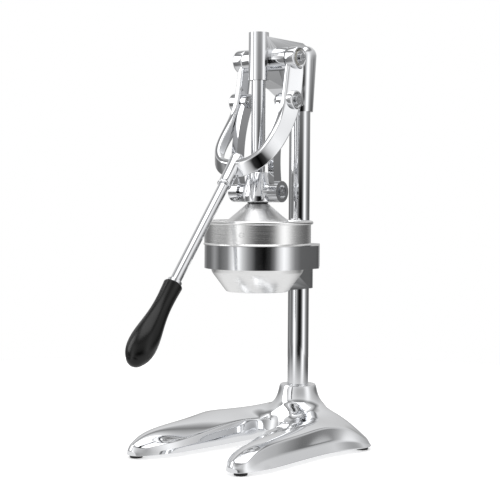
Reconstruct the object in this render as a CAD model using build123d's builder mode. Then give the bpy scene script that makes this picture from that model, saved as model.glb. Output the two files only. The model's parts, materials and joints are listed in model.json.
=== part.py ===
from build123d import *
import os
from math import cos, radians, sin

os.makedirs("parts", exist_ok=True)

# Hand-lever citrus press, in millimetres, +Z up. The front, where the lever points, is -Y.
# The origin is on the table, under the middle of the whole press; the press axis, which the
# rod, bell and bowl share, stands behind it at press_y. Every "y" below is from that axis.
press_y = 54.1

# Column and castings
column_y = 82.0
column_r = 12.5
column_wall = 2.0
column_bottom = 24.0
column_top = 452.0
slip_gap = 0.05
set_screw_r = 3.0

# Base
base_low = 4.0
screw_r = 1.7
front_foot = (73.0, -124.0)
rear_foot = (97.0, 73.0)
base_boss_top = 66.0
base_boss_r = 20.0

# Ring, bowl and strainer
ring_r = 60.5
ring_bore_r = 56.0
ring_bottom = 208.0
ring_top = 234.0
bowl_wall = 1.5
rim_z = 260.0

# Guide sleeve and rod
rod_r = 8.0
sleeve_r = 11.5
sleeve_bottom = 421.0
sleeve_top = 475.0
bush_wall = 1.5
bush_length = 12.0

# Pivots of the linkage, as (y, z), and the faces between its layers, as half widths
upper_pivot = (20.0, 446.0)
middle_pivot = (13.0, 398.0)
lower_pivot = (0.0, 295.0)
fork_in = 30.0
fork_out = 43.5
link_in = 22.1
link_out = 29.6
pin_r = 5.0

# Lever: its axis passes through lever_point and falls forward at lever_angle
lever_point = (-94.4, 261.8)
lever_angle = 51.0
lever_r = 6.0
socket_r = 7.6
grip_length = 103.0

# Press head
hub_bottom = 283.0
hub_top = 317.0
bell_top = 281.8
bell_rim = 246.0


def side(x=0.0):
    """Plane facing +X at x; its sketch axes are y from the press axis, and z."""
    return Plane(origin=(x, press_y, 0), x_dir=(0, 1, 0), z_dir=(1, 0, 0))


def deck(z=0.0):
    """Level plane at height z, centred on the press axis."""
    return Plane(origin=(0, press_y, z))


def front(y=0.0):
    """Plane facing forwards at y; its sketch axes are x and z."""
    return Plane(origin=(0, press_y + y, 0), x_dir=(1, 0, 0), z_dir=(0, -1, 0))


def cross(point, x=0.0):
    """Plane facing +X, centred on a pivot of the linkage."""
    return Plane(origin=(x, press_y + point[0], point[1]), x_dir=(0, 1, 0), z_dir=(1, 0, 0))


def on_lever(distance):
    """Plane square to the lever axis, at a distance along it from lever_point."""
    fall = radians(lever_angle)
    along = (0, -cos(fall), -sin(fall))
    y = press_y + lever_point[0] + along[1] * distance
    z = lever_point[1] + along[2] * distance
    return Plane(origin=(0, y, z), x_dir=(1, 0, 0), z_dir=along)


press_axis = Axis((0, press_y, 0), (0, 0, 1))
column_axis = Axis((0, press_y + column_y, 0), (0, 0, 1))


def save(piece, name):
    """Label a finished piece and write it to its own file."""
    piece.part.label = name
    export_step(piece.part, f"parts/{name}.step")


# Base casting: a hollow horseshoe with a toe at each corner and a boss for the column
tall = 60.0
wide = 300.0
feet = [(s * x, y) for x, y in (front_foot, rear_foot) for s in (-1, 1)]
horseshoe = [
    (0, 42), (24, 42), (28, -20), (36, -85), (52, -137), (84, -140),
    (94, -105), (93, 12), (112, 66), (106, 88), (0, 107),
]
horseshoe_bends = [20, 80, 90, 14, 13, 30, 60, 14, 14]

with BuildPart() as base:
    with BuildSketch(deck(base_low)):
        with BuildLine():
            FilletPolyline(*horseshoe, radius=horseshoe_bends)
            mirror(about=Plane.YZ)
        make_face()
    extrude(amount=tall)
    with BuildSketch(side(-wide / 2)):
        with BuildLine():
            FilletPolyline((-150, 0), (-135, 20), (-105, 35), (85, 37), (113, 26), radius=[20, 40, 30])
            Polyline((113, 26), (113, 0), (-150, 0))
        make_face()
    extrude(amount=wide, mode=Mode.INTERSECT)
    with BuildSketch(front(wide / 2)):
        with BuildLine():
            FilletPolyline((0, 25), (24, 26), (50, 35), (80, 37), (97, 30), (114, 3), radius=[60, 40, 12, 14])
            Polyline((114, 3), (114, 0), (0, 0), (0, 25))
        make_face()
        mirror(about=Plane.YZ)
    extrude(amount=wide, mode=Mode.INTERSECT)
    with BuildSketch(side()):
        with BuildLine():
            Polyline((column_y, 20), (column_y, base_boss_top), (column_y + base_boss_r, base_boss_top))
            Line((column_y + base_boss_r, base_boss_top), (column_y + 21, 52))
            RadiusArc((column_y + 21, 52), (column_y + 24, 36), 60)
            Polyline((column_y + 24, 36), (column_y + 24, 20), (column_y, 20))
        make_face()
    revolve(axis=column_axis)
    with BuildSketch(deck(0)) as pockets:
        with BuildLine():
            Polyline((47, -100), (82, -100), (87, 20), (87, 48),
                     (70, 70), (40, 72), (36, 40), (33, -20), close=True)
        make_face()
        fillet(pockets.vertices(), 6)
        mirror(about=Plane.YZ)
    extrude(amount=20, mode=Mode.SUBTRACT)
    with Locations(Location((0, press_y + column_y, base_boss_top))):
        Hole(column_r + slip_gap, depth=base_boss_top - column_bottom)
        Hole(4.2)
    with Locations(Location((0, press_y + column_y, base_low))):
        Cylinder(9, 16, mode=Mode.SUBTRACT)
    with Locations(*[Location((x, press_y + y, base_low)) for x, y in feet]):
        Cylinder(screw_r, 20, mode=Mode.SUBTRACT)
save(base, "base_casting")

# Foot pads and their screws
with BuildPart() as pads:
    with BuildSketch(deck()):
        with Locations(*feet):
            Circle(7.3)
    extrude(amount=base_low)
    chamfer(pads.edges().group_by(Axis.Z)[0], 0.6)
    with Locations(*[Location((x, press_y + y, 0)) for x, y in feet]):
        Cylinder(3.5, 5.6, mode=Mode.SUBTRACT)
        Hole(screw_r)
save(pads, "foot_pads")

with BuildPart() as pad_screws:
    with BuildSketch(deck(1.0)):
        with Locations(*feet):
            Circle(3.2)
    extrude(amount=1.8)
    with BuildSketch(deck(2.0)):
        with Locations(*feet):
            Circle(screw_r - 0.05)
    extrude(amount=11)
save(pad_screws, "foot_screws")

# Column: tube, plug in its foot, and the bolt that pulls it into the base
with BuildPart() as column:
    with BuildSketch(deck(column_bottom)):
        with Locations((0, column_y)):
            Circle(column_r)
            Circle(column_r - column_wall, mode=Mode.SUBTRACT)
    extrude(amount=column_top - column_bottom)
save(column, "column_tube")

with BuildPart() as plug:
    with BuildSketch(deck(column_bottom)):
        with Locations((0, column_y)):
            Circle(column_r - column_wall - 0.02)
            Circle(4.05, mode=Mode.SUBTRACT)
    extrude(amount=26)
save(plug, "column_plug")

bolt_seat = 12.0
washer = 1.6
with BuildPart() as base_washer:
    with BuildSketch(deck(bolt_seat - washer)):
        with Locations((0, column_y)):
            Circle(8)
            Circle(4.2, mode=Mode.SUBTRACT)
    extrude(amount=washer)
save(base_washer, "base_washer")

with BuildPart() as base_bolt:
    with BuildSketch(deck(bolt_seat - washer)):
        with Locations((0, column_y)):
            RegularPolygon(7.4, 6)
    extrude(amount=-5.3)
    with BuildSketch(deck(bolt_seat - washer)):
        with Locations((0, column_y)):
            Circle(4)
    extrude(amount=32)
save(base_bolt, "base_bolt")

# Funnel bowl: lower bowl, shoulder on the ring, upper wall with rolled rim and three rivets
# that carry the strainer inside
bowl_shoulder = 60.0
rivet_z = 247.0
rivet_r = 1.6
rivet_planes = [
    Plane(
        origin=(bowl_shoulder * cos(turn), press_y + bowl_shoulder * sin(turn), rivet_z),
        z_dir=(cos(turn), sin(turn), 0),
    )
    for turn in (radians(-70 + 120 * step) for step in range(3))
]
with BuildPart() as bowl:
    with BuildSketch(side()):
        with BuildLine() as wall:
            FilletPolyline((15.8, 177), (15.8, 182), (34.5, 182), (51, 203.5), (54.6, 218),
                           (54.6, ring_top + 0.8), (bowl_shoulder, ring_top + 0.8),
                           (bowl_shoulder, rim_z), radius=[1.5, 7, 8, 1, 1, 1])
        trace(wall.line, line_width=bowl_wall)
        with Locations((61.1, rim_z)):
            Circle(2.3)
        with Locations((61, ring_top + 1.5)):
            Rectangle(2.2, 3)
    revolve(axis=press_axis)
    with BuildSketch(*rivet_planes):
        Circle(rivet_r)
    extrude(amount=3, both=True, mode=Mode.SUBTRACT)
save(bowl, "funnel_bowl")

with BuildPart() as rivets:
    with BuildSketch(*rivet_planes):
        Circle(rivet_r - 0.02)
    extrude(amount=1.2, both=True)
    with BuildSketch(*[plane.offset(bowl_wall / 2) for plane in rivet_planes]):
        Circle(3)
    extrude(amount=1.5, taper=25)
    with BuildSketch(*[plane.offset(-bowl_wall / 2 - 0.1) for plane in rivet_planes]):
        Circle(2.4)
    extrude(amount=-2.2)
save(rivets, "rim_rivets")

with BuildPart() as strainer:
    with BuildSketch(side()):
        with BuildLine() as wall:
            FilletPolyline((0, 240), (51, 240), (54.8, 250.2), (58.4, 250.2), radius=[3, 1])
        trace(wall.line, line_width=1)
        with Locations((-1, 240)):
            Rectangle(2, 4, mode=Mode.SUBTRACT)
    revolve(axis=press_axis)
    for ring_of_holes, count in ((38.5, 30), (43.5, 34), (48, 38)):
        with BuildSketch(deck(235)):
            with PolarLocations(ring_of_holes, count):
                Circle(1.2)
        extrude(amount=10, mode=Mode.SUBTRACT)
save(strainer, "strainer_dish")

reamer_base = 240.5
rib_planes = [
    Plane(origin=(0, press_y, 0), x_dir=(cos(turn), sin(turn), 0), z_dir=(sin(turn), -cos(turn), 0))
    for turn in (radians(45 * step) for step in range(8))
]
with BuildPart() as reamer:
    with BuildSketch(side()):
        with BuildLine():
            Polyline((0, 268), (0, reamer_base), (32, reamer_base), (29, 246))
            Spline((29, 246), (19, 259), (5, 267), (0, 268))
        make_face()
    revolve(axis=press_axis)
    with BuildSketch(*rib_planes):
        with BuildLine():
            Polyline((0, 270), (0, reamer_base), (35, reamer_base), (32, 247),
                     (21, 261), (6, 269.5), (0, 270))
        make_face()
    extrude(amount=1.2, both=True)
save(reamer, "reamer_cone")

# Ring bracket: ring round the bowl, arm to the column and a clamp with a gusset under the ring
clamp_r = 17.0
clamp_bottom = 181.0
ring_screw_heights = (194.0, 221.0)
with BuildPart() as bracket:
    with BuildSketch(deck(ring_bottom)):
        with BuildLine():
            CenterArc((0, 0), ring_r, -90, 90)
            FilletPolyline((ring_r, 0), (ring_r, 36), (20, 97), (0, 101.5), radius=[20, 12])
            mirror(about=Plane.YZ)
        make_face()
    extrude(amount=ring_top - ring_bottom)
    with BuildSketch(deck(clamp_bottom)):
        with Locations((0, column_y)):
            Circle(clamp_r)
        with Locations((0, (column_y + 30) / 2)):
            Rectangle(2 * clamp_r, column_y - 30)
    extrude(amount=ring_bottom - clamp_bottom)
    with BuildSketch(side()):
        with BuildLine():
            Polyline((0, 170), (35, 170), (42, 185), (52.8, 201),
                     (ring_bore_r, 209), (ring_bore_r, 240), (0, 240), close=True)
        make_face()
    revolve(axis=press_axis, mode=Mode.SUBTRACT)
    with Locations(Location((0, press_y + column_y, ring_top))):
        Hole(column_r + slip_gap)
    for height in ring_screw_heights:
        with BuildSketch(front(column_y)):
            with Locations((0, height)):
                Circle(set_screw_r)
        extrude(amount=-30, mode=Mode.SUBTRACT)
save(bracket, "ring_bracket")

with BuildPart() as bracket_screws:
    for height in ring_screw_heights:
        with BuildSketch(front(column_y + column_r + slip_gap)):
            with Locations((0, height)):
                Circle(set_screw_r - slip_gap)
        extrude(amount=-5)
save(bracket_screws, "ring_set_screws")

# Head casting: guide sleeve, arm, column boss and the cross boss of the upper pivot
head_bottom = 390.0
head_screw_heights = (404.0, 436.0)
arm_half = 12.0
boss_r = 13.0
with BuildPart() as head:
    with BuildSketch(side()):
        with BuildLine():
            Polyline((column_y, 467), (column_y, head_bottom),
                     (column_y + 15.5, head_bottom), (column_y + 19.2, 456))
            RadiusArc((column_y + 19.2, 456), (column_y + 10, 467), -12)
            Line((column_y + 10, 467), (column_y, 467))
        make_face()
    revolve(axis=column_axis)
    with BuildSketch(side(-arm_half)):
        with BuildLine():
            Polyline((0, 470), (70, 469), (88, 462), (88, 440),
                     (70, 396), (34, 414), (6, 421.5), (0, 421.5), close=True)
        make_face()
    extrude(amount=2 * arm_half)
    fillet(head.edges().filter_by(Axis.X).group_by(Axis.Z)[-1], 0.5)
    with BuildSketch(deck(sleeve_bottom)):
        Circle(sleeve_r)
    extrude(amount=sleeve_top - sleeve_bottom)
    with BuildSketch(cross(upper_pivot, -fork_in + 0.3)):
        Circle(boss_r)
    extrude(amount=2 * fork_in - 0.6)
    with BuildSketch(cross(upper_pivot, -fork_out)):
        Circle(6)
    extrude(amount=2 * fork_out, mode=Mode.SUBTRACT)
    with BuildSketch(deck(sleeve_bottom)):
        Circle(rod_r + bush_wall)
    extrude(amount=sleeve_top - sleeve_bottom, mode=Mode.SUBTRACT)
    with BuildSketch(deck(head_bottom)):
        with Locations((0, column_y)):
            Circle(column_r + slip_gap)
    extrude(amount=column_top - head_bottom, mode=Mode.SUBTRACT)
    for height in head_screw_heights:
        with BuildSketch(front(column_y)):
            with Locations((0, height)):
                Circle(set_screw_r)
        extrude(amount=-30, mode=Mode.SUBTRACT)
save(head, "head_casting")

with BuildPart() as head_screws:
    for height in head_screw_heights:
        with BuildSketch(front(column_y + column_r + slip_gap)):
            with Locations((0, height)):
                Circle(set_screw_r - slip_gap)
        extrude(amount=-4)
save(head_screws, "head_set_screws")

with BuildPart() as guides:
    for height in (sleeve_bottom + 0.5, sleeve_top - bush_length - 0.5):
        with BuildSketch(deck(height)):
            Circle(rod_r + bush_wall - 0.02)
            Circle(rod_r + 0.05, mode=Mode.SUBTRACT)
        extrude(amount=bush_length)
save(guides, "guide_bushes")


def bolt_head(pivot, face, head_r, height, key):
    """Socket heads of a pair of pivot bolts, standing outwards from |x| = face."""
    for sign in (-1, 1):
        with BuildSketch(cross(pivot, sign * face)) as cheese:
            Circle(head_r)
        extrude(cheese.sketch, amount=sign * height)
        with BuildSketch(cross(pivot, sign * (face + height))) as socket:
            RegularPolygon(key, 6)
        extrude(socket.sketch, amount=-sign * height * 0.6, mode=Mode.SUBTRACT)


def pair(pivot, start, end, radius, hole=0.0, mode=Mode.ADD):
    """Round pieces on a pivot, from |x| = start to |x| = end on both sides."""
    for sign in (-1, 1):
        with BuildSketch(cross(pivot, sign * start)) as disc:
            Circle(radius)
            if hole:
                Circle(hole, mode=Mode.SUBTRACT)
        extrude(disc.sketch, amount=sign * (end - start), mode=mode)


# Upper pivot: a shaft pressed in the head, bushes in the fork, a washer and bolt at each end
shaft_r = 6.0
with BuildPart() as shaft:
    with BuildSketch(cross(upper_pivot, -fork_out - 0.2)):
        Circle(shaft_r - 0.01)
    extrude(amount=2 * fork_out + 0.4)
    pair(upper_pivot, fork_out - 14, fork_out + 0.2, 3.05, mode=Mode.SUBTRACT)
save(shaft, "upper_pivot_shaft")

with BuildPart() as upper_washers:
    pair(upper_pivot, fork_out + 0.2, fork_out + 1.2, 8, 3.1)
save(upper_washers, "upper_pivot_washers")

with BuildPart() as upper_bolts:
    bolt_head(upper_pivot, fork_out + 1.2, 5, 2.8, 2.6)
    pair(upper_pivot, fork_out - 12, fork_out + 1.2, 3)
save(upper_bolts, "upper_pivot_bolts")

with BuildPart() as fork_bushing:
    pair(upper_pivot, fork_in, fork_out, 8, shaft_r + 0.04)
save(fork_bushing, "fork_bushes")

# Lever: fork casting with its socket, rod, ferrule, collar, cross pin and grip
fork_depth = 20.0
socket_start = -88.0
socket_end = -53.0
cross_pin_r = 1.5
cross_pin = on_lever(socket_end - 12).origin
cross_pin = (cross_pin.Y - press_y, cross_pin.Z)
grip_start = 83.6
grip_bore = 72.0
middle_out = 45.0
with BuildPart() as fork:
    with BuildSketch(front(90)):
        with BuildLine():
            FilletPolyline((0, 312), (15, 315), (44.5, 343), (44, 388), (fork_out, 400), (fork_out, 470),
                           radius=[12, 24, 40, 30])
            FilletPolyline((0, 329), (20, 331), (34.5, 352), (34, 378), (fork_in, 400), (fork_in, 470),
                           radius=[14, 24, 40, 30])
            Line((fork_out, 470), (fork_in, 470))
            Line((0, 312), (0, 329))
        make_face()
        mirror(about=Plane.YZ)
    extrude(amount=200)
    with BuildSketch(side(-60)):
        with BuildLine() as spine:
            FilletPolyline((upper_pivot[0], upper_pivot[1]), (12, 392), (-60, 303), radius=70)
        trace(spine.line, line_width=fork_depth)
    extrude(amount=120, mode=Mode.INTERSECT)
    pair(upper_pivot, fork_in, fork_out, boss_r)
    pair(middle_pivot, fork_in, middle_out, 11)
    with BuildSketch(on_lever(socket_start)):
        Circle(socket_r)
    extrude(amount=socket_end - socket_start)
    pair(upper_pivot, fork_in - 1, fork_out + 1, 8.02, mode=Mode.SUBTRACT)
    pair(middle_pivot, fork_in - 1, middle_out + 1, pin_r + 0.02, mode=Mode.SUBTRACT)
    pair(middle_pivot, middle_out - 1.5, middle_out, 7.5, mode=Mode.SUBTRACT)
    with BuildSketch(on_lever(socket_end)):
        Circle(lever_r + 0.02)
    extrude(amount=-28, mode=Mode.SUBTRACT)
    with BuildSketch(cross(cross_pin, -20)):
        Circle(cross_pin_r + 0.02)
    extrude(amount=40, mode=Mode.SUBTRACT)
save(fork, "fork_casting")

with BuildPart() as lever:
    with BuildSketch(on_lever(socket_end - 27.5)):
        Circle(lever_r)
    extrude(amount=grip_start + grip_bore - 0.2 - socket_end + 27.5)
    with BuildSketch(cross(cross_pin, -20)):
        Circle(cross_pin_r + 0.02)
    extrude(amount=40, mode=Mode.SUBTRACT)
save(lever, "lever_rod")

with BuildPart() as pin:
    with BuildSketch(cross(cross_pin, -7.2)):
        Circle(cross_pin_r)
    extrude(amount=14.4)
save(pin, "socket_pin")

with BuildPart() as ferrule:
    with BuildSketch(on_lever(socket_end)):
        Circle(8.2)
        Circle(lever_r + 0.02, mode=Mode.SUBTRACT)
    extrude(amount=2.6)
    chamfer(ferrule.edges().filter_by(GeomType.CIRCLE).sort_by(SortBy.LENGTH)[-2:], 0.6)
save(ferrule, "lever_ferrule")

with BuildPart() as collar:
    with BuildSketch(on_lever(grip_start - 4)):
        Circle(8)
        Circle(lever_r + 0.02, mode=Mode.SUBTRACT)
    extrude(amount=4)
save(collar, "grip_collar")

with BuildPart() as grip_blank:
    with BuildSketch(Plane.XZ):
        with BuildLine():
            Polyline((8.6, 0), (lever_r + 0.02, 0), (lever_r + 0.02, grip_bore), (0, grip_bore), (0, grip_length))
            ThreePointArc((0, grip_length), (5, 101.6), (9.4, 97))
            Spline((9.4, 97), (13.4, 90), (15.5, 78), (14.8, 66), (12.2, 50),
                   (10.1, 33), (9.9, 14), (10.5, 2.2))
            ThreePointArc((10.5, 2.2), (10, 0.6), (8.6, 0))
        make_face()
    revolve(axis=Axis.Z)

with BuildPart() as grip:
    add(on_lever(grip_start).location * grip_blank.part)
save(grip, "lever_grip")

# Middle pivot: bolt through fork and link, washer in the boss, bush in the link, nut inside
with BuildPart() as middle_washer_pair:
    pair(middle_pivot, middle_out - 1.45, middle_out - 0.3, 7.4, pin_r + 0.05)
save(middle_washer_pair, "middle_pivot_washers")

with BuildPart() as middle_bolts:
    bolt_head(middle_pivot, middle_out - 0.3, 5.6, 2.8, 2.8)
    pair(middle_pivot, 18, middle_out - 0.3, pin_r)
save(middle_bolts, "middle_pivot_bolts")

with BuildPart() as middle_nuts:
    for sign in (-1, 1):
        with BuildSketch(cross(middle_pivot, sign * (link_in - 0.4))):
            RegularPolygon(7.8, 6)
            Circle(pin_r + 0.02, mode=Mode.SUBTRACT)
        extrude(amount=-sign * 4)
save(middle_nuts, "middle_pivot_nuts")

# Links: flat bars bowed forwards, with a thick eye at the lower end
eye_r = 12.0
eye_out = 34.0
link_bow = (-3.2, 347.5)
for sign, name in ((-1, "link_left"), (1, "link_right")):
    with BuildPart() as link:
        with BuildSketch(side(sign * link_in)):
            with BuildLine() as bar:
                ThreePointArc(middle_pivot, link_bow, lower_pivot)
            trace(bar.line, line_width=14)
            with Locations(middle_pivot):
                Circle(9.5)
            with Locations(lower_pivot):
                Circle(eye_r)
        extrude(amount=sign * (link_out - link_in))
        with BuildSketch(cross(lower_pivot, sign * link_in)):
            Circle(eye_r)
        extrude(amount=sign * (eye_out - link_in))
        with BuildSketch(cross(lower_pivot, sign * (eye_out - 3))):
            Circle(7.5)
        extrude(amount=sign * 3, mode=Mode.SUBTRACT)
        with BuildSketch(cross(lower_pivot, sign * link_in)):
            Circle(4.02)
        extrude(amount=sign * 20, mode=Mode.SUBTRACT)
        with BuildSketch(cross(middle_pivot, sign * link_in)):
            Circle(7.02)
        extrude(amount=sign * 20, mode=Mode.SUBTRACT)
    save(link, name)

with BuildPart() as link_bushing:
    pair(middle_pivot, link_in, link_out, 7, pin_r + 0.05)
save(link_bushing, "link_bushes")

with BuildPart() as lower_bolts:
    bolt_head(lower_pivot, eye_out - 3, 5.2, 3.6, 2.8)
    pair(lower_pivot, link_in, eye_out - 3, 4)
save(lower_bolts, "lower_pivot_bolts")

# Press head: rod, fluted hub with its side lugs, gasket, bell and the screw that holds them
hub_web = 3.0
lug_r = 9.0
with BuildPart() as rod:
    with BuildSketch(deck(hub_bottom + hub_web)):
        Circle(rod_r)
    extrude(amount=sleeve_top - 4 - hub_bottom - hub_web)
    chamfer(rod.edges().group_by(Axis.Z)[-1], 1)
    with BuildSketch(deck(hub_bottom + hub_web)):
        Circle(4.05)
    extrude(amount=22, mode=Mode.SUBTRACT)
save(rod, "press_rod")

with BuildPart() as hub:
    with BuildSketch(side()):
        with BuildLine():
            FilletPolyline((0, hub_top), (11.5, hub_top), (19, 290), (18.2, hub_bottom), (0, hub_bottom),
                           radius=[2, 4, 1.5])
            Line((0, hub_bottom), (0, hub_top))
        make_face()
    revolve(axis=press_axis)
    with Locations(Location((0, press_y, 300))):
        with PolarLocations(18.2, 10):
            Cylinder(3, 60, rotation=(0, -14.5, 0), mode=Mode.SUBTRACT)
    pair(lower_pivot, 10, link_in - 0.3, lug_r)
    pair(lower_pivot, 12, link_in - 0.3, 4.02, mode=Mode.SUBTRACT)
    with Locations(Location((0, press_y, hub_top))):
        Hole(rod_r + 0.02, depth=hub_top - hub_bottom - hub_web)
        Hole(4.2)
    with BuildSketch(front(0)):
        with Locations((0, 304)):
            Circle(2.5)
    extrude(amount=-25, mode=Mode.SUBTRACT)
save(hub, "press_head_hub")

with BuildPart() as hub_screw:
    with BuildSketch(front(rod_r + 0.05)):
        with Locations((0, 304)):
            Circle(2.45)
    extrude(amount=-4.5)
save(hub_screw, "hub_set_screw")

with BuildPart() as lug_studs:
    pair(lower_pivot, 12, link_in - 0.3, 4)
save(lug_studs, "lug_studs")

with BuildPart() as gasket:
    with BuildSketch(deck(bell_top)):
        Circle(11.8)
        Circle(4.2, mode=Mode.SUBTRACT)
    extrude(amount=hub_bottom - bell_top)
save(gasket, "bell_gasket")

bell_wall = 1.5
with BuildPart() as bell:
    with BuildSketch(side()):
        with BuildLine() as wall:
            FilletPolyline((0, bell_top - bell_wall / 2), (11.2, bell_top - bell_wall / 2),
                           (48.4, 249.6), (48.4, bell_rim - 1), radius=[3, 2])
        trace(wall.line, line_width=bell_wall)
        with Locations((0, bell_top)):
            Rectangle(8.4, 10, mode=Mode.SUBTRACT)
        with Locations((-6, bell_top)):
            Rectangle(8.4, 10, mode=Mode.SUBTRACT)
    revolve(axis=press_axis)
save(bell, "press_bell")

with BuildPart() as bell_screw:
    with BuildSketch(deck(bell_top - bell_wall)):
        Circle(7)
    extrude(amount=-3.2)
    chamfer(bell_screw.edges().group_by(Axis.Z)[0], 1)
    with BuildSketch(deck(bell_top - bell_wall)):
        Circle(4)
    extrude(amount=24)
save(bell_screw, "bell_screw")
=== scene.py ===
import bpy
import bmesh
import json
import math
from mathutils import Matrix, Vector

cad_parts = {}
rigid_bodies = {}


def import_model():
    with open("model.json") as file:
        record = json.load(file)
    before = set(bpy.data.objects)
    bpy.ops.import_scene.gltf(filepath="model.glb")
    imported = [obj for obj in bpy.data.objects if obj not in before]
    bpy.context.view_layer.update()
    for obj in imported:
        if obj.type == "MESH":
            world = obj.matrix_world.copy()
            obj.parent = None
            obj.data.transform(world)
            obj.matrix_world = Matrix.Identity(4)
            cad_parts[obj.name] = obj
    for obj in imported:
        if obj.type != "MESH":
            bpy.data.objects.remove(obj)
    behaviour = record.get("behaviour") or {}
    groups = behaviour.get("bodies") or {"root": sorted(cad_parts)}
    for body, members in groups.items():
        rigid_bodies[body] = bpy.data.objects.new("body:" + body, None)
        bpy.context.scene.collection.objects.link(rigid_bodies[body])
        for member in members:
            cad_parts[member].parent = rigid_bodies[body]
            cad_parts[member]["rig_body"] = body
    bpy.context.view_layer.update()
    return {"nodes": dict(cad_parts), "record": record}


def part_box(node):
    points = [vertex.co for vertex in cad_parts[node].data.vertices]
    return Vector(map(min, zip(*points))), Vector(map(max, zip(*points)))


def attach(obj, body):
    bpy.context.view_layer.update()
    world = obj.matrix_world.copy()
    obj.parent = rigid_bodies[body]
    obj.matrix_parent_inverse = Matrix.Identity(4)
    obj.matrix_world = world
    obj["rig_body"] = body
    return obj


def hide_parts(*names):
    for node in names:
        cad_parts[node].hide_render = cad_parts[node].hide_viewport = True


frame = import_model()
nodes = frame["nodes"]
slotOf = {part["node"]: part["material_slot"] for part in frame["record"]["subparts"]}
scene = bpy.context.scene
mm = 0.001

rodLow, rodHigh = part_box("press_rod")
pressY = (rodLow.y + rodHigh.y) / 2                 # the press axis stands here
columnLow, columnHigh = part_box("column_tube")
columnY = (columnLow.y + columnHigh.y) / 2
print("frame loaded")


# degrees for the angles, metres for the places, mm for the lens and the sensor
cameraLook = {"azimuth": 37.2, "tilt": 2.42, "roll": 0.36, "height": 0.291, "distance": 1.483,
              "aside": 0.0086, "lens": 93.6, "sensor": 36.0}


def addCamera():
    turn = math.radians(cameraLook["azimuth"])
    back = Vector((math.sin(turn), -math.cos(turn), 0))
    right = Vector((math.cos(turn), math.sin(turn), 0))
    place = Vector((0, pressY, cameraLook["height"])) + back * cameraLook["distance"]
    place -= right * cameraLook["aside"]
    tilt = Matrix.Rotation(math.radians(90 - cameraLook["tilt"]), 4, "X")
    roll = Matrix.Rotation(math.radians(cameraLook["roll"]), 4, "Z")
    data = bpy.data.cameras.new("camera")
    data.lens = cameraLook["lens"]
    data.sensor_width = cameraLook["sensor"]
    camera = bpy.data.objects.new("camera", data)
    camera.matrix_world = (Matrix.Translation(place) @ Matrix.Rotation(turn, 4, "Z")
                           @ tilt @ roll)
    scene.collection.objects.link(camera)
    scene.camera = camera


def toLinear(code):                                 # sRGB hex to a linear colour
    parts = [int(code[i:i + 2], 16) / 255 for i in (1, 3, 5)]
    return [p / 12.92 if p <= 0.04045 else ((p + 0.055) / 1.055) ** 2.4 for p in parts] + [1]


# settings: property or input to its value; links: input to the socket that feeds it
def addNode(tree, kind, settings=None, links=None):
    node = tree.nodes.new(kind)
    for name, value in (settings or {}).items():
        if isinstance(name, str) and hasattr(node, name):
            setattr(node, name, value)
        else:
            node.inputs[name].default_value = value
    for name, source in (links or {}).items():
        tree.links.new(source, node.inputs[name])
    return node


def fillRamp(node, stops):                          # (place, grey) pairs
    elements = node.color_ramp.elements
    elements.remove(elements[-1])
    elements[0].position = stops[0][0]
    elements[0].color = [stops[0][1]] * 3 + [1]
    for place, grey in stops[1:]:
        elements.new(place).color = [grey] * 3 + [1]
    return node


def newMaterial(name, base):
    material = bpy.data.materials.new(name)
    material.use_nodes = True
    shader = material.node_tree.nodes["Principled BSDF"]
    shader.inputs["Base Color"].default_value = toLinear(base)
    return material, material.node_tree, shader


studio = {
    # brightness round the horizon: 0 is behind the object, and the count turns by its right
    # through the camera's side at 0.5
    "round": [(0.0, 0.42), (0.06, 0.36), (0.11, 0.16), (0.16, 0.18), (0.205, 0.42),
              (0.25, 0.14), (0.31, 0.3), (0.335, 0.8), (0.36, 1.5), (0.386, 1.4),
              (0.41, 0.8), (0.44, 0.42), (0.467, 0.2), (0.49, 0.03), (0.54, 0.0),
              (0.575, 0.04), (0.60, 0.22), (0.64, 1.05), (0.664, 1.4), (0.69, 1.1),
              (0.717, 0.6), (0.747, 0.3), (0.80, 0.14), (0.864, 0.09), (0.92, 0.32),
              (1.0, 0.42)],
    # how far the ceiling has replaced the walls, by the upward part of the direction
    "rise": [(0.0, 0.0), (0.04, 0.12), (0.15, 0.42), (0.35, 0.55), (0.6, 0.75), (0.85, 1.0)],
    "overhead": [(0.0, 0.97), (0.56, 0.97), (0.67, 0.45), (0.74, 0.22), (0.82, 0.6), (0.90, 1.0)],
    "backdrop": 1.0,
}


def addWalls(tree, place):                          # brightness by direction round the upright
    facing = math.pi / 2 - math.radians(cameraLook["azimuth"])
    aligned = addNode(tree, "ShaderNodeMapping", {"Rotation": (0, 0, facing)}, {"Vector": place})
    wheel = addNode(tree, "ShaderNodeTexGradient", {"gradient_type": "RADIAL"},
                    {"Vector": aligned.outputs["Vector"]})
    return fillRamp(addNode(tree, "ShaderNodeValToRGB", links={"Fac": wheel.outputs["Fac"]}),
                    studio["round"])


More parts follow.
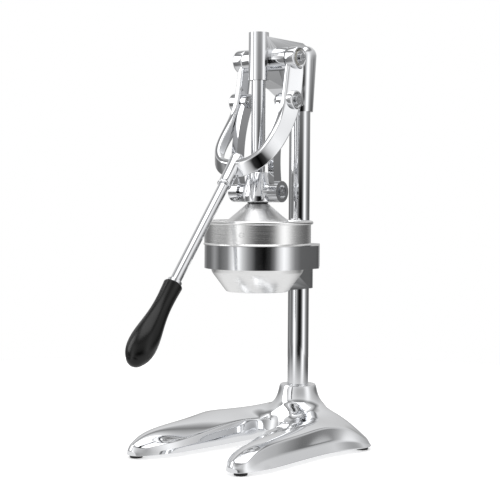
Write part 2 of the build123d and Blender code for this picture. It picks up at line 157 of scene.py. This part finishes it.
def addStudio():                                    # what the metal mirrors, and a plain backdrop
    world = bpy.data.worlds.new("studio")
    scene.world = world
    world.use_nodes = True
    tree = world.node_tree
    tree.nodes.clear()
    coord = addNode(tree, "ShaderNodeTexCoord")
    walls = addWalls(tree, coord.outputs["Generated"])
    split = addNode(tree, "ShaderNodeSeparateXYZ", links={"Vector": coord.outputs["Generated"]})
    rise, overhead = [
        fillRamp(addNode(tree, "ShaderNodeValToRGB", links={"Fac": split.outputs["Z"]}),
                 studio[part])
        for part in ("rise", "overhead")]
    sky = addNode(tree, "ShaderNodeMix", {"data_type": "RGBA"},
                  {0: rise.outputs["Color"], 6: walls.outputs["Color"],
                   7: overhead.outputs["Color"]})
    path = addNode(tree, "ShaderNodeLightPath")
    lit = addNode(tree, "ShaderNodeBackground", links={"Color": sky.outputs[2]})
    plain = addNode(tree, "ShaderNodeBackground",
                    {"Color": (1, 1, 1, 1), "Strength": studio["backdrop"]})
    mix = addNode(tree, "ShaderNodeMixShader",
                  links={0: path.outputs["Is Camera Ray"], 1: lit.outputs[0],
                         2: plain.outputs[0]})
    addNode(tree, "ShaderNodeOutputWorld", links={"Surface": mix.outputs[0]})


# Lengths in metres. As the metal mirrors it, the table is "bright" near the object and fades
# into the walls between "near" and "far".
tableLook = {"radius": 0.9, "turns": 96, "base": "#fbfbfb", "rough": 0.6, "glow": 0.35,
             "near": 0.30, "far": 0.75, "bright": 0.9}


def addFloor():
    bm = bmesh.new()
    bmesh.ops.create_circle(bm, cap_ends=True, segments=tableLook["turns"],
                            radius=tableLook["radius"])
    mesh = bpy.data.meshes.new("floor")
    bm.to_mesh(mesh)
    bm.free()
    floor = bpy.data.objects.new("floor", mesh)
    scene.collection.objects.link(floor)
    # matt white paper, burnt out by the light on it
    material, tree, shader = newMaterial("paleTable", tableLook["base"])
    shader.inputs["Roughness"].default_value = tableLook["rough"]
    shader.inputs["Emission Color"].default_value = (1, 1, 1, 1)
    shader.inputs["Emission Strength"].default_value = tableLook["glow"]
    coord = addNode(tree, "ShaderNodeTexCoord")
    reach = addNode(tree, "ShaderNodeVectorMath", {"operation": "LENGTH"},
                    {0: coord.outputs["Object"]})
    fade = addNode(tree, "ShaderNodeMapRange",
                   {"From Min": tableLook["near"], "From Max": tableLook["far"]},
                   {"Value": reach.outputs["Value"]})
    walls = addWalls(tree, coord.outputs["Object"])
    glow = addNode(tree, "ShaderNodeMix",
                   {"data_type": "RGBA", 6: [tableLook["bright"]] * 3 + [1]},
                   {0: fade.outputs["Result"], 7: walls.outputs["Color"]})
    mirrored = addNode(tree, "ShaderNodeEmission", links={"Color": glow.outputs[2]})
    path = addNode(tree, "ShaderNodeLightPath")
    mix = addNode(tree, "ShaderNodeMixShader",
                  links={0: path.outputs["Is Camera Ray"], 1: mirrored.outputs[0],
                         2: shader.outputs[0]})
    tree.links.new(mix.outputs[0], tree.nodes["Material Output"].inputs["Surface"])
    mesh.materials.append(material)


# metres and watts
lights = {
    "overhead": {"place": (0.1, -0.1, 1.7), "size": (1.6, 1.6), "power": 9, "aim": (0, 0, 0.2)},
    "keySide": {"place": (-1.1, -0.9, 0.9), "size": (0.7, 1.2), "power": 6, "aim": (0, 0, 0.25)},
}


def addLight(name, place, size, power, aim):
    data = bpy.data.lights.new(name, "AREA")
    data.shape = "RECTANGLE"
    data.size, data.size_y = size
    data.energy = power
    light = bpy.data.objects.new(name, data)
    light.location = place
    light.rotation_euler = (Vector(aim) - Vector(place)).to_track_quat("-Z", "Y").to_euler()
    scene.collection.objects.link(light)


addCamera()
addStudio()
addFloor()
for name, settings in lights.items():
    addLight(name, **settings)
scene.view_settings.view_transform = "Standard"
print("camera, studio and floor ready")


# Sizes in the looks are in mm, and a noise's Scale counts features in a metre, so it is 1000
# over the size. Most of a noise's values lie in this span.
noiseSpan = (0.3, 0.7)


def addRoughness(tree, shader, value, span):
    rough = addNode(tree, "ShaderNodeMapRange",
                    {"From Min": noiseSpan[0], "From Max": noiseSpan[1],
                     "To Min": span[0], "To Max": span[1]}, {"Value": value})
    tree.links.new(rough.outputs["Result"], shader.inputs["Roughness"])


def metal(name, look):
    # Roughness drifts between two values over "cloud". Hairlines of "grain", stretched by
    # "stretch" and "hairDepth" deep, are the brushing or wheel marks. "ripple" is the height of
    # the slow unevenness under the plating, and "wave" its width.
    material, tree, shader = newMaterial(name, look["base"])
    shader.inputs["Metallic"].default_value = 1
    coord = addNode(tree, "ShaderNodeTexCoord")
    drift = addNode(tree, "ShaderNodeTexNoise", {"Scale": 1000 / look["cloud"], "Detail": 3},
                    {"Vector": coord.outputs["Object"]})
    stretched = addNode(tree, "ShaderNodeMapping", {"Scale": look["stretch"]},
                        {"Vector": coord.outputs["Object"]})
    hair = addNode(tree, "ShaderNodeTexNoise", {"Scale": 1000 / look["grain"], "Detail": 2},
                   {"Vector": stretched.outputs["Vector"]})
    both = addNode(tree, "ShaderNodeMix", {0: look["grainShare"]},
                   {2: drift.outputs["Fac"], 3: hair.outputs["Fac"]})
    addRoughness(tree, shader, both.outputs[0], look["rough"])
    wave = addNode(tree, "ShaderNodeTexNoise", {"Scale": 1000 / look["wave"], "Detail": 0},
                   {"Vector": coord.outputs["Object"]})
    lines = addNode(tree, "ShaderNodeBump", {"Strength": 1, "Distance": look["hairDepth"] * mm},
                    {"Height": hair.outputs["Fac"]})
    swell = addNode(tree, "ShaderNodeBump", {"Strength": 1, "Distance": look["ripple"] * mm},
                    {"Height": wave.outputs["Fac"], "Normal": lines.outputs["Normal"]})
    tree.links.new(swell.outputs["Normal"], shader.inputs["Normal"])
    return material


def moulded(name, look):
    # Roughness drifts with the flow over "cloud", and orange peel of "peel", "depth" deep,
    # breaks the highlights.
    material, tree, shader = newMaterial(name, look["base"])
    shader.inputs["Specular IOR Level"].default_value = look["shine"]
    coord = addNode(tree, "ShaderNodeTexCoord")
    drift = addNode(tree, "ShaderNodeTexNoise", {"Scale": 1000 / look["cloud"], "Detail": 4},
                    {"Vector": coord.outputs["Object"]})
    addRoughness(tree, shader, drift.outputs["Fac"], look["rough"])
    peel = addNode(tree, "ShaderNodeTexNoise", {"Scale": 1000 / look["peel"], "Detail": 1},
                   {"Vector": coord.outputs["Object"]})
    bump = addNode(tree, "ShaderNodeBump", {"Strength": 1, "Distance": look["depth"] * mm},
                   {"Height": peel.outputs["Fac"]})
    tree.links.new(bump.outputs["Normal"], shader.inputs["Normal"])
    return material


castingChrome = {"base": "#e8e9eb", "cloud": 25, "grain": 0.9, "stretch": (1, 1, 1),
                 "grainShare": 0.25, "rough": (0.02, 0.08), "wave": 30, "ripple": 0.12,
                 "hairDepth": 0.0}
ringChrome = dict(castingChrome, base="#dcdddf", rough=(0.08, 0.14), ripple=0.0)
tubeChrome = dict(castingChrome, base="#e4e5e7", rough=(0.03, 0.07), ripple=0.0)
sheetSteel = dict(castingChrome, base="#ececec", grain=0.6, stretch=(0.02, 0.02, 1),
                  grainShare=0.6, rough=(0.20, 0.30), ripple=0.0, hairDepth=0.0008)
satinSteel = dict(sheetSteel, base="#dedede", rough=(0.26, 0.38), hairDepth=0.0012)
tumbledCast = dict(castingChrome, base="#d2d3d4", rough=(0.22, 0.34), wave=6, ripple=0.03)
zincSteel = dict(castingChrome, base="#cfd0d2", rough=(0.12, 0.2), wave=5, ripple=0.01)
rubber = {"base": "#0e0e0e", "cloud": 8, "rough": (0.5, 0.7), "peel": 0.8, "depth": 0.02,
          "shine": 0.5}
phenolic = dict(rubber, base="#020202", cloud=20, rough=(0.2, 0.3), peel=9, depth=0.03,
                shine=0.36)
nylon = dict(rubber, base="#dedbd0", cloud=6, rough=(0.4, 0.55), peel=1, depth=0.01)

finishes = {
    # decorative chrome on a buffed casting: a mirror with slow waves in it
    "chrome_casting": metal("chromePlatedCasting", castingChrome),
    # the same plating, buffed less: soft-edged bands
    "polished_casting": metal("chromePlatedRing", ringChrome),
    # plated drawn tube: straight streaks of light
    "chrome_tube": metal("chromePlatedTube", tubeChrome),
    # spun sheet: fine rings left by the polishing belt
    "stainless_sheet": metal("spunStainless", sheetSteel),
    # coarser belt: the light spreads along the rings
    "brushed_stainless": metal("satinStainless", satinSteel),
    # tumbled casting: dull and a little uneven
    "cast_aluminium": metal("tumbledAluminium", tumbledCast),
    # bright zinc: small clean glints
    "steel_fastener": metal("zincPlatedSteel", zincSteel),
    # matt black with no clear highlight
    "black_rubber": moulded("mouldedRubber", rubber),
    # deep black with long soft highlights
    "grip_plastic": moulded("glossPhenolic", phenolic),
    # waxy off-white
    "nylon": moulded("turnedNylon", nylon),
}
for name, node in nodes.items():
    node.data.materials.clear()
    node.data.materials.append(finishes[slotOf[name]])
print("materials ready")


def finishPiece(name, bm, standsFor, sharp):        # object, finish, body and the nodes it shows
    mesh = bpy.data.meshes.new(name)
    bm.to_mesh(mesh)
    bm.free()
    mesh.shade_smooth()
    if sharp:
        mesh.set_sharp_from_angle(angle=math.radians(sharp))
    slot = slotOf[standsFor[0]]
    mesh.materials.append(finishes[slot])
    piece = bpy.data.objects.new(name, mesh)
    scene.collection.objects.link(piece)
    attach(piece, nodes[standsFor[0]]["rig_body"])
    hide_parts(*standsFor)
    return piece


def addModifier(piece, kind, settings):
    modifier = piece.modifiers.new(kind.lower(), kind)
    for name, value in settings.items():
        setattr(modifier, name, value)


def smooth(piece, levels):
    addModifier(piece, "SUBSURF", {"levels": levels, "render_levels": levels})


# The shapes below are built in mm: x from the middle, y from the press axis, z from the table.
# Points of a half within "snapGap" of the middle plane move onto it, and the halves are welded
# within "seamGap".
snapGap = 0.01
seamGap = 0.05
poleGap = 0.001                                     # welds what a lathe makes on its own axis


def toPlace(bm):                                    # from those mm to the frame's metres
    bmesh.ops.scale(bm, vec=(mm, mm, mm), verts=bm.verts)
    bmesh.ops.translate(bm, vec=(0, pressY, 0), verts=bm.verts)


def pull(bm, chain, places):                        # extrude an open run of edges to new places
    edges = [bm.edges.get(pair) for pair in zip(chain, chain[1:])]
    made = bmesh.ops.extrude_edge_only(bm, edges=edges)["geom"]
    fresh = {item for item in made if isinstance(item, bmesh.types.BMVert)}
    moved = [next(edge.other_vert(vert) for edge in vert.link_edges
                  if edge.other_vert(vert) in fresh)
             for vert in chain]
    for vert, place in zip(moved, places):
        vert.co = place
    return moved


def setCrease(bm, chain, value):
    layer = bm.edges.layers.float["crease_edge"]
    for pair in zip(chain, chain[1:]):
        bm.edges.get(pair)[layer] = value


def mirrorHalf(bm):                                 # adds the other half and closes open ends
    bmesh.ops.mirror(bm, geom=bm.verts[:] + bm.edges[:] + bm.faces[:], axis="X",
                     merge_dist=seamGap)
    bmesh.ops.holes_fill(bm, edges=[edge for edge in bm.edges if edge.is_boundary], sides=0)
    bmesh.ops.recalc_face_normals(bm, faces=bm.faces)


# Base casting. Each row runs from the inner crease over the crown to the outer crease, and the
# rows run from the front toe to the back.
baseShape = {
    "rows": [
        [(58, -129, 10), (70, -135, 19), (82, -128, 11)],
        [(53, -120, 14), (68.5, -122, 25.5), (82, -117, 19)],
        [(42, -97, 16.5), (65, -100, 31.5), (81.5, -98, 25.5)],
        [(36.5, -64, 20), (64, -66, 34.5), (82, -66, 28)],
        [(31, -20, 28), (65, -20, 34.5), (83.5, -20, 30)],
        [(27, 14, 30), (66, 14, 36.5), (86, 14, 33.5)],
        [(22, 40, 28), (62, 40, 37.5), (92, 42, 29.5)],
        [(36, 60, 38.5), (66, 61, 37), (98.5, 58, 22.5)],
        [(43, 84, 41.5), (73, 84, 29), (106.5, 73, 8.5)],
        [(37, 100, 35), (67, 98, 23), (97, 89, 8.5)],
    ],
    "throatRow": 6,                                 # the horseshoe's inner edge ends on this row
    "frontMiddle": (0, 46, 26), "back": [(18, 106, 30), (0, 106.5, 29)],
    "wallMiddle": [
        (0, 43, 15), (21.5, 38, 15), (24.5, 14, 16), (28, -18, 15), (34, -58, 12),
        (38.5, -95, 10), (52, -121, 8), (60, -132.5, 7), (71, -138.3, 11), (81, -132, 7),
        (85, -119, 10), (86, -97, 14), (85.5, -66, 14), (85.5, -20, 14), (88, 14, 15),
        (93, 38, 15), (102, 56, 12), (108, 73, 6.2), (98, 90.5, 6.2), (68, 101, 12),
        (38, 103, 18), (18, 107, 17), (0, 107, 17)],
    "wallFoot": [
        (0, 42, 4), (22, 37.5, 4), (24, 14, 4), (27, -16, 4), (33, -55, 4), (38, -95, 4),
        (51, -121, 4), (60, -134, 4), (71, -137.5, 4), (81, -133.5, 4), (86.5, -120, 4),
        (94, -97, 4), (93.6, -66, 4), (93.2, -20, 4), (95, 14, 4), (101, 38, 4),
        (109, 57, 4), (109.5, 74, 4), (99, 91, 4), (68, 102.5, 4), (38, 105, 4),
        (18, 107, 4), (0, 107, 4)],
    # faces of the underside, by their corners' places in the foot of the wall
    "underside": [
        (7, 8, 9), (7, 9, 10, 6), (6, 10, 11, 5), (5, 11, 12, 4), (4, 12, 13, 3),
        (3, 13, 14, 2), (2, 14, 15, 1), (1, 15, 16, 20), (16, 17, 18, 19, 20),
        (0, 1, 20, 21, 22)],
    # rings of the boss, from the saddle up and down the bore: radius, height and new crease
    "bossRings": [(34, 41.5, 0), (28.5, 46.5, 0), (25, 54, 0), (22.8, 64.4, 0), (21.6, 66, 0.5),
                  (13.2, 66, 0.5), (13.1, 50, 0)],
    "creaseEdges": 0.75, "noseEdges": 0.35, "footEdges": 0.9, "smoothing": 4,
}


def makeBase():
    bm = bmesh.new()
    bm.edges.layers.float.new("crease_edge")
    first = [bm.verts.new(place) for place in baseShape["rows"][0]]
    for pair in zip(first, first[1:]):
        bm.edges.new(pair)
    rows = [first]
    for places in baseShape["rows"][1:]:
        rows.append(pull(bm, rows[-1], places))

    # the saddle goes round the boss, from the middle of the throat to the middle of the back
    throat, last = baseShape["throatRow"], rows[-1]
    saddle = [bm.verts.new(baseShape["frontMiddle"])] + [row[0] for row in rows[throat:]]
    saddle += [bm.verts.new(place) for place in baseShape["back"]]
    for start in (0, 4, 5):                         # the steps that no row has given an edge
        bm.edges.new(saddle[start:start + 2])
    bossY = (columnY - pressY) / mm
    turns = [math.pi * step / (len(saddle) - 1) - math.pi / 2 for step in range(len(saddle))]
    ring = saddle
    for radius, height, crease in baseShape["bossRings"]:
        ring = pull(bm, ring, [(radius * math.cos(turn), bossY + radius * math.sin(turn), height)
                               for turn in turns])
        if crease:
            setCrease(bm, ring, crease)

    border = saddle[:2] + [row[0] for row in rows[throat - 1::-1]] + [rows[0][1]]
    border += [row[2] for row in rows] + [last[1], last[0]] + saddle[5:]
    setCrease(bm, border, baseShape["creaseEdges"])
    setCrease(bm, rows[0], baseShape["noseEdges"])
    foot = pull(bm, pull(bm, border, baseShape["wallMiddle"]), baseShape["wallFoot"])
    setCrease(bm, foot, baseShape["footEdges"])
    for corners in baseShape["underside"]:
        bm.faces.new([foot[index] for index in corners])
    for vert in bm.verts:
        if abs(vert.co.x) < snapGap:
            vert.co.x = 0
    mirrorHalf(bm)
    toPlace(bm)
    smooth(finishPiece("baseCasting", bm, ["base_casting"], 0), baseShape["smoothing"])


makeBase()
print("base casting ready")


def lathe(bm, profile, centre, axis, turns):        # profile: radius, distance along the axis
    axis = Vector(axis).normalized()
    side = axis.orthogonal().normalized()
    swell = 3 / (2 + math.cos(2 * math.pi / turns))     # smoothing draws a ring in by this much
    centre = Vector(centre)
    verts = [bm.verts.new(centre + axis * along + side * radius * swell)
             for radius, along in profile]
    pairs = list(zip(verts, verts[1:]))
    if profile[0][0]:
        pairs.append((verts[-1], verts[0]))
    edges = [bm.edges.new(pair) for pair in pairs]
    before = set(bm.faces)
    bmesh.ops.spin(bm, geom=verts + edges, cent=centre, axis=axis, angle=2 * math.pi,
                   steps=turns, use_merge=True)
    made = [face for face in bm.faces if face not in before]
    bmesh.ops.remove_doubles(bm, verts=list({vert for face in made for vert in face.verts}),
                             dist=poleGap)
    bmesh.ops.recalc_face_normals(bm, faces=[face for face in made if face.is_valid])


# Fork: two arms, their bosses and the socket. A station down one arm is x, y, z, half width,
# half depth, and how far the arm leans forward from upright, in degrees.
forkShape = {
    "stations": [
        (36.75, 20, 446, 6.4, 9.5, 8), (36.75, 17.5, 425, 6.2, 9.6, 9),
        (37, 13, 400, 6.5, 10, 15), (37.8, 4, 378, 6.6, 9.0, 27),
        (39.0, -12.5, 357.5, 6.0, 8.2, 37), (37.3, -27, 341, 5.7, 7.7, 39),
        (29.6, -37.5, 329, 5.7, 7.4, 39), (17, -43.5, 321.5, 6.1, 7.4, 39),
        (0, -45, 319.5, 6.8, 7.6, 39)],
    # the arm's section as shares of half width and half depth: a broad bevel faces forwards
    # and outwards, and the edges at "bevelCorners" are creased
    "section": [(-1, -0.85), (-1, 0.8), (-0.85, 1), (-0.1, 0.95), (0.85, -0.4), (1, -0.65),
                (0.8, -0.95), (0, -1)],
    "bevelCorners": (1, 3, 5), "bevelCrease": 0.7,
    "widthSwell": 1.2, "depthSwell": 1.12,          # make up for what smoothing takes off
    "upperBoss": [(8.1, 30), (12.4, 30), (13, 30.6), (13, 42.7), (12.4, 43.5), (8.1, 43.5)],
    "middleBoss": [(5.1, 30), (10.6, 30), (11, 30.6), (11, 44.2), (10.4, 45), (8, 45),
                   (7.6, 44.7), (7.5, 43.5), (5.1, 43.5)],
    "socket": [(0, -94), (6.4, -93.4), (8.8, -90), (8.4, -80), (7.7, -68), (7.6, -54),
               (7.1, -53), (6.1, -53), (6.1, -80), (0, -80)],
    "upperPivot": (0, 20, 446), "middlePivot": (0, 13, 398),
    "leverPoint": (0, -94.4, 261.8), "leverFall": 51,   # a point of the lever's axis, its slope
    "turns": 16, "smoothing": 3,
}


def makeFork():
    bm = bmesh.new()
    layer = bm.edges.layers.float.new("crease_edge")
    points = [Vector(station[:3]) for station in forkShape["stations"]]
    last = len(points) - 1
    ring = None
    for index, station in enumerate(forkShape["stations"]):
        width, depth, lean = station[3:]
        along = (points[min(index + 1, last)] - points[max(index - 1, 0)]).normalized()
        if index == last:
            along = Vector((-1, 0, 0))              # square to the middle plane
        forward = Vector((0, -math.cos(math.radians(lean)), math.sin(math.radians(lean))))
        outward = forward.cross(along).normalized()
        outward *= width * forkShape["widthSwell"]
        forward *= depth * forkShape["depthSwell"]
        places = [points[index] + outward * a + forward * b for a, b in forkShape["section"]]
        if ring is None:
            ring = [bm.verts.new(place) for place in places]
            for pair in zip(ring, ring[1:] + ring[:1]):
                bm.edges.new(pair)
        else:
            fresh = pull(bm, ring + ring[:1], places + places[:1])[:-1]
            for corner in forkShape["bevelCorners"]:
                edge = bm.edges.get((ring[corner], fresh[corner]))
                edge[layer] = forkShape["bevelCrease"]
            ring = fresh
    for vert in ring:
        vert.co.x = 0
    mirrorHalf(bm)
    for sign in (-1, 1):
        for boss, pivot in (("upperBoss", "upperPivot"), ("middleBoss", "middlePivot")):
            lathe(bm, forkShape[boss], forkShape[pivot], (sign, 0, 0), forkShape["turns"])
    fall = math.radians(forkShape["leverFall"])
    lathe(bm, forkShape["socket"], forkShape["leverPoint"],
          (0, -math.cos(fall), -math.sin(fall)), forkShape["turns"])
    toPlace(bm)
    smooth(finishPiece("forkCasting", bm, ["fork_casting"], 0), forkShape["smoothing"])


makeFork()
print("fork ready")


# Bowl: radius and height, up the outside, round the rolled rim and down the inside
bowlShape = {
    "profile": [
        (16, 181.3), (34.7, 181.3), (35.9, 181.9), (51.2, 202.3), (52.1, 204.2), (54.9, 215.5),
        (55.3, 218.5), (55.3, 234.1), (60.3, 234.1), (61.3, 234.5), (61.8, 235.4), (61.3, 236.3),
        (60.8, 236.8), (60.8, 257.8), (62.2, 258), (63.3, 259.1), (63.4, 260.6), (62.5, 261.9),
        (61, 262.3), (59.8, 261.6), (59.3, 260), (59.3, 236), (58.8, 235.6), (53.9, 235.6),
        (53.8, 218.8), (50.6, 205), (34.6, 182.9), (16, 182.8)],
    "turns": 160, "sharp": 28,
}


def makeBowl():
    bm = bmesh.new()
    lathe(bm, bowlShape["profile"], (0, 0, 0), (0, 0, 1), bowlShape["turns"])
    toPlace(bm)
    finishPiece("funnelBowl", bm, ["funnel_bowl"], bowlShape["sharp"])


makeBowl()
print("bowl ready")


# Machined parts, links and brackets keep their own shape, with the edges broken. "weld" and
# "edge" are in mm; faces within "flat" degrees become one, and edges over "sharp" are broken.
skinLook = {"weld": 0.005, "flat": 0.5, "sharp": 32, "edge": 0.3, "segments": 2}


def makeSkin(name):
    bm = bmesh.new()
    bm.from_mesh(nodes[name].data)
    bmesh.ops.remove_doubles(bm, verts=bm.verts, dist=skinLook["weld"] * mm)
    bmesh.ops.dissolve_limit(bm, angle_limit=math.radians(skinLook["flat"]), verts=bm.verts,
                             edges=bm.edges)
    piece = finishPiece(name + "_skin", bm, [name], skinLook["sharp"])
    addModifier(piece, "BEVEL", {"width": skinLook["edge"] * mm,
                                 "segments": skinLook["segments"], "limit_method": "ANGLE",
                                 "angle_limit": math.radians(skinLook["sharp"]),
                                 "harden_normals": True})


for name in ("column_tube", "rim_rivets", "strainer_dish", "reamer_cone", "ring_bracket",
             "head_casting", "lever_rod", "lever_ferrule", "grip_collar", "lever_grip",
             "link_left", "link_right", "press_rod", "press_head_hub", "press_bell",
             "upper_pivot_washers", "upper_pivot_bolts", "middle_pivot_washers",
             "middle_pivot_bolts", "middle_pivot_nuts", "lower_pivot_bolts", "foot_pads"):
    makeSkin(name)
print("machined parts ready")
